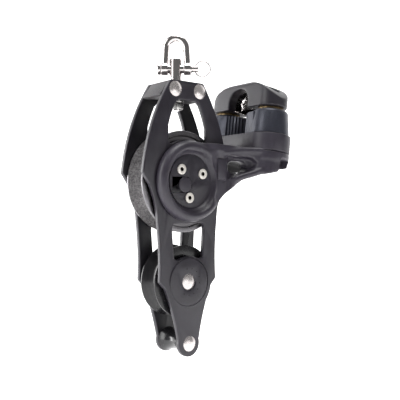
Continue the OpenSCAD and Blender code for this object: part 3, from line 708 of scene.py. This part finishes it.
def crestPoints(line, step):  # even points along a smooth curve through the line's corners, in mm
    corners = [Vector(corner) * mm for corner in line]
    corners = [2 * corners[0] - corners[1], *corners, 2 * corners[-1] - corners[-2]]
    points = []
    for a, b, c, d in zip(corners, corners[1:], corners[2:], corners[3:]):
        count = max(1, round((c - b).length / step))
        for i in range(count):
            t = i / count
            pull = (c - a) * t + (2 * a - 5 * b + 4 * c - d) * t * t + (3 * b - 3 * c + d - a) * t ** 3
            points.append(b + 0.5 * pull)
    return points


beads = []
for line, width in (("top", "topBead"), ("low", "lowBead")):
    for side in (1, -1):
        path = [Vector((p.x, side * p.y, p.z)) for p in crestPoints(armLook[line], armLook["step"])]
        beads.append(tubeMesh(path, armLook[width]))


def eased(value, start, end):  # 0 before start, 1 after end, smooth between
    share = min(max((value - start) / (end - start), 0), 1)
    return share * share * (3 - 2 * share)


def armCeiling(place):  # the hub's ring is low and narrow where the leg leaves it
    look = armLook
    turn = abs(math.degrees(math.atan2(place.z, place.x)) - look["sinkTurn"])
    radius = math.hypot(place.x, place.z)
    share = 1 - eased(turn, look["sinkHalf"], look["sinkEnd"])
    share *= 1 - eased(radius, look["reach"], look["freeFrom"])
    free = look["face"] + eased(radius, look["reach"], look["freeTo"]) * look["freeRise"]
    low = look["crest"] + (look["web"] - look["crest"]) * eased(radius, look["crestFrom"], look["crestTo"])
    return free + (low - free) * share


notchLook = {"turn": -71, "half": 5.8 * mm, "from": 7 * mm, "to": 18 * mm, "top": -14.5 * mm, "low": -26 * mm}
cleatLook = {"x": 55.8 * mm, "z": 28 * mm, "tilt": 7.5, "boltHalf": 19 * mm}


def atCleat(side):  # from a bolt's own frame, z = 0 at the cams' seat, to the block's
    place = Matrix.Translation((cleatLook["x"], 0, cleatLook["z"]))
    tilt = Matrix.Rotation(math.radians(cleatLook["tilt"]), 4, "Y")
    return place @ tilt @ Matrix.Translation((0, side * cleatLook["boltHalf"], 0))


def notchMesh(look, side):  # the space that a notch takes out of an end
    low = (look["from"], -look["half"], look["low"])
    high = (look["to"], look["half"], look["top"])
    mesh = boxMesh("notch", low, high)
    mesh.transform(atCleat(side) @ Matrix.Rotation(math.radians(-side * look["turn"]), 4, "Z"))
    return mesh


def cutBy(piece, cutters):  # takes closed meshes out of a piece
    for number, mesh in enumerate(cutters):
        tool = shown(piece.name + "Cutter" + str(number), mesh)
        cut = piece.modifiers.new("cut", "BOOLEAN")
        cut.operation = "DIFFERENCE"
        cut.solver = "EXACT"
        cut.object = tool
        baked(piece)
        bpy.data.objects.remove(tool)
    return piece


cleatArm = flowing("cleat_arm", "cleatArm", "arm", armLook, beads, armCeiling)
cutBy(cleatArm, [notchMesh(notchLook, side) for side in (-1, 1)])
padLook = {"x": (18.2 * mm, 25.2 * mm), "z": (1.2 * mm, 13.6 * mm), "y": (13.6 * mm, 15.5 * mm),
           "edge": 0.7 * mm}
for side, name in ((-1, "nearArmPad"), (1, "farArmPad")):
    depth = sorted(side * y for y in padLook["y"])
    low, high = zip(padLook["x"], depth, padLook["z"])
    pad = shown(name, boxMesh(name, low, high), "arm")
    settle(edged(pad, padLook["edge"]), "arm", "moulding")

# painted shade: faces turned in towards the middle, and faces between the legs, below the saddle take the
# near-black copy
cleatArm.data.materials.append(finishes["armPaintedShade"])
for face in cleatArm.data.polygons:
    inward = face.normal.y * face.center.y < -armLook["inward"] * abs(face.center.y)
    within = abs(face.center.y) < armLook["inside"] and face.center.x > armLook["reach"]
    if (inward or within) and face.center.z < armLook["saddle"]:
        face.material_index = 1
bridgeLook = {"voxel": 0.4 * mm, "rounds": 18}
cleatEdge = {"base": 0.5 * mm, "liner": 0.25 * mm, "cam": 0.3 * mm, "camSharp": 25, "washer": 0.2 * mm,
             "bolt": 0.3 * mm, "nut": 0.3 * mm}
bevelled("cleat_base", "cleatBase", "base", cleatEdge["base"])
flowing("fairlead_bridge", "fairleadBridge", "bridge", bridgeLook)
bevelled("fairlead_liner", "fairleadLiner", "steel", cleatEdge["liner"])
bevelled("cam_near", "nearCam", "cam", cleatEdge["cam"], 2, cleatEdge["camSharp"])
bevelled("cam_far", "farCam", "cam", cleatEdge["cam"], 2, cleatEdge["camSharp"])
bevelled("cam_washers", "camWashers", "bronze", cleatEdge["washer"], 2)
bevelled("cam_bolts", "camBolts", "steel", cleatEdge["bolt"], 2)
bevelled("cam_nuts", "camNuts", "dull", cleatEdge["nut"], 2)
print("cleat done")

cameraLook = {"turn": 39.9, "lift": -0.42, "roll": -0.35, "distance": 374.08 * mm, "lens": 57.33,
              "aim": (17.62 * mm, 0, -10.28 * mm), "sensor": 36, "nearest": 0.01}


def makeCamera(look):
    turn, lift, roll = (math.radians(look[key]) for key in ("turn", "lift", "roll"))
    ahead = Vector((math.sin(turn) * math.cos(lift), math.cos(turn) * math.cos(lift), -math.sin(lift)))
    right = Vector((math.cos(turn), -math.sin(turn), 0))
    up = right.cross(ahead)
    tilted = math.cos(roll) * right + math.sin(roll) * up
    raised = math.cos(roll) * up - math.sin(roll) * right
    camera = bpy.data.objects.new("camera", bpy.data.cameras.new("camera"))
    bpy.context.scene.collection.objects.link(camera)
    camera.data.lens = look["lens"]
    camera.data.sensor_width = look["sensor"]
    camera.data.clip_start = look["nearest"]
    place = Vector(look["aim"]) - ahead * look["distance"]
    camera.matrix_world = Matrix((tilted, raised, -ahead)).transposed().to_4x4()
    camera.location = place
    bpy.context.scene.camera = camera
    return ahead, right


ahead, right = makeCamera(cameraLook)
above = Vector((0, 0, 1))


def softbox(name, place, size, power, tall):
    lamp = bpy.data.lights.new(name, "AREA")
    lamp.shape = "RECTANGLE"
    lamp.size = size
    lamp.size_y = tall
    lamp.energy = power
    item = bpy.data.objects.new(name, lamp)
    spot = right * place[0] + above * place[1] - ahead * place[2]
    item.location = spot
    item.rotation_mode = "QUATERNION"
    item.rotation_quaternion = spot.to_track_quat("Z", "Y")
    bpy.context.scene.collection.objects.link(item)
    return item


lampLook = {
    "keyLamp": ((-0.8, 0.35, 0.5), 0.28, 6.5, 1.3),
    "topLamp": ((0.1, 0.9, 0.1), 0.5, 5, 0.5),
    "fillLamp": ((0.8, -0.2, 0.5), 0.5, 1.2, 0.5),
    "edgeLamp": ((-0.9, 0.0, -0.25), 0.2, 6, 0.9),
}  # place to the right, up and towards the camera, then width, power and height
for name, (place, width, power, height) in lampLook.items():
    softbox(name, place, width, power, height)

studioLook = {"floor": -0.16, "wall": 0.46, "bend": 0.12, "width": 1.4, "front": -1.0, "height": 1.2}


def studioMesh(look):  # a floor that curves up into a back wall, square to the camera
    line = [(look["front"], look["floor"])]
    bend = look["bend"]
    turns = [i * math.pi / 24 for i in range(13)]
    line += [(look["wall"] - bend * (1 - math.sin(t)), look["floor"] + bend * (1 - math.cos(t)))
             for t in turns]
    line += [(look["wall"], look["height"])]
    level = Vector((ahead.x, ahead.y, 0)).normalized()
    points = [level * d + right * s * look["width"] + above * z for d, z in line for s in (-1, 1)]
    faces = [(2 * i, 2 * i + 1, 2 * i + 3, 2 * i + 2) for i in range(len(line) - 1)]
    mesh = bpy.data.meshes.new("studio")
    mesh.from_pydata(points, [], faces)
    for face in mesh.polygons:
        face.use_smooth = True
    return mesh


paper = Finish("paleFloor", Roughness=0.9, Specular_IOR_Level=0.1, Emission_Strength=0.85)
cloud = paper.noise(0.4, 1)
paper.set(Base_Color=paper.tint(cloud, (0.8, 0.8, 0.8), (0.82, 0.82, 0.82)), Emission_Color=(1, 1, 1, 1))
studio = shown("studioFloor", studioMesh(studioLook))
studio.data.materials.append(paper.material)

world = bpy.data.worlds.new("studioAir")
world.use_nodes = True
bpy.context.scene.world = world
air = world.node_tree.nodes["Background"]
air.inputs["Color"].default_value = (1, 1, 1, 1)
seen = world.node_tree.nodes.new("ShaderNodeLightPath")
level = world.node_tree.nodes.new("ShaderNodeMapRange")
level.inputs["To Min"].default_value = 0.16
level.inputs["To Max"].default_value = 1.0
world.node_tree.links.new(seen.outputs["Is Camera Ray"], level.inputs["Value"])
world.node_tree.links.new(level.outputs[0], air.inputs["Strength"])
print("studio done")
